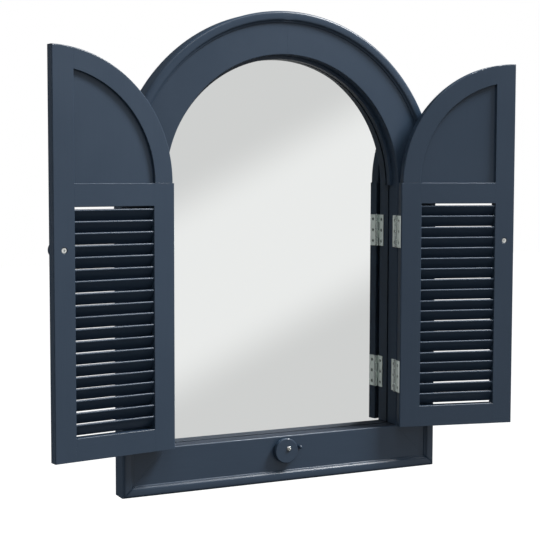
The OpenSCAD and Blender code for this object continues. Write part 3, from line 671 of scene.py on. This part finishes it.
def swung(side, turn, place, facing):
    """A seat on the right shutter as it hangs shut, brought to the side and angle it stands at."""
    way = -1 if side == "left" else 1
    pin = Matrix.Translation((way * axis_x, axis_y, 0))
    swing = pin @ Matrix.Rotation(way * math.radians(turn), 4, "Z") @ pin.inverted()
    place = swing @ Vector((way * place[0], place[1], place[2]))
    facing = swing.to_3x3() @ Vector((way * facing[0], facing[1], facing[2]))
    return place, facing


knob_reach = 0.1748
knob_screw_y = axis_y + 0.0172
knob_z = 0.364 - holes_z
knob_screw = countersunk("stout_screw", shank_r=0.0022, head_r=0.0038, length=0.0232)
shutter_turns = (("left", 171.6), ("right", 167.6))
for side, turn in shutter_turns:
    drive(
        f"hinge_screws_{side}",
        leaf_screw,
        [
            swung(side, turn, (axis_x - leaf_gap, leaf_seat_y, z), (1, 0, 0))
            for z in leaf_screw_z
        ],
        f"shutter_{side}",
        screw_steel,
        f"shutter_leaf_screws_{side}",
    )
    drive(
        f"knob_screw_cross_{side}",
        knob_screw,
        [swung(side, turn, (axis_x - knob_reach, knob_screw_y, knob_z), (0, 1, 0))],
        f"shutter_{side}",
        turned_steel,
        f"knob_screw_{side}",
    )

board_y = 0.0032
board_r = 0.2075
board_foot = 0.0575
board_spring = 0.4515
board_angles = (22, 66, 114, 158)
board_rows = (0.25, 0.5, 0.75)
foot_screw_x = 0.09775
board_seats = [
    (
        board_r * math.cos(math.radians(angle)),
        board_spring - holes_z + board_r * math.sin(math.radians(angle)),
    )
    for angle in board_angles
]
board_seats += [
    (way * board_r, board_foot - holes_z + row * (board_spring - board_foot))
    for way in (-1, 1)
    for row in board_rows
]
board_seats += [(way * foot_screw_x, board_foot - holes_z) for way in (-1, 1)]
back_screw = countersunk("back_screw", shank_r=0.0012, head_r=0.0022, length=0.013)
drive(
    "backing_screws",
    back_screw,
    [((x, board_y, z), (0, 1, 0)) for x, z in board_seats],
    "frame",
    screw_steel,
    "board_screws",
)

plate_x = 0.231
plate_z = 0.0045
plate_screw_step = 0.0206
plate_seats = [
    (way * plate_x, plate_z + step * plate_screw_step) for way in (-1, 1) for step in (-1, 1)
]
drive(
    "plate_screws",
    back_screw,
    [((x, 0, z), (0, 1, 0)) for x, z in plate_seats],
    "frame",
    screw_steel,
    "hanger_screws",
)

pivot_low, pivot_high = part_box("pivot_screw")
pivot_z = (pivot_low[2] + pivot_high[2]) / 2
pivot_r = 0.0022
pivot_head_r = (pivot_high[0] - pivot_low[0]) / 2
dome_h = pivot_head_r / 2
dome_rings = ((1, 0), (0.96, 0.3), (0.8, 0.65), (0.5, 0.92), (0.2, 1))
pivot_screw = turned_blank(
    "pivot_blank",
    pivot_r,
    pivot_high[1] - pivot_low[1] - dome_h,
    [(pivot_r, 0)] + [(across * pivot_head_r, up * dome_h) for across, up in dome_rings],
)
punch_cross(pivot_screw, dome_h, pivot_head_r)
drive(
    "pivot_screw_domed",
    pivot_screw,
    [((0, pivot_low[1] + dome_h, pivot_z), (0, -1, 0))],
    "frame",
    turned_steel,
    "pivot_screw",
)
for blank in (leaf_screw, knob_screw, back_screw, pivot_screw):
    bpy.data.objects.remove(blank)


# ---- Shutters ----
# Framed shutters of solid wood: stiles, rails, an arched panel and fixed slats, all in the same
# satin navy. The grain follows each piece, turned with the shutter as it stands open.
for side, turn in shutter_turns:
    swing = math.radians(180 - turn) * (1 if side == "left" else -1)
    upright = navy_paint(f"shutter_upright_{side}", (fine, fine, coarse), swing)
    crosswise = navy_paint(f"shutter_level_{side}", (coarse, fine, fine), swing)
    dress(
        upright,
        f"hinge_stile_{side}",
        f"meeting_stile_{side}",
        f"arched_panel_{side}",
        f"curved_rail_{side}",
    )
    dress(crosswise, f"mid_rail_{side}", f"low_rail_{side}", f"louvres_{side}")


# ---- Knobs, turn button and stop peg ----
# Turned from the same wood and painted with the rest. A screw holds each knob, another is the
# turn button's pivot, and the peg is glued into its hole in the bottom rail.
turned_grain = 160
turned = navy_paint("navy_paint_turned", (turned_grain, turned_grain, turned_grain))
dress(turned, "knob_left", "knob_right", "turn_button", "stop_peg")


# ---- Picture ----
# The picture is shown with its colours as they are.
bpy.context.scene.view_settings.view_transform = "Standard"
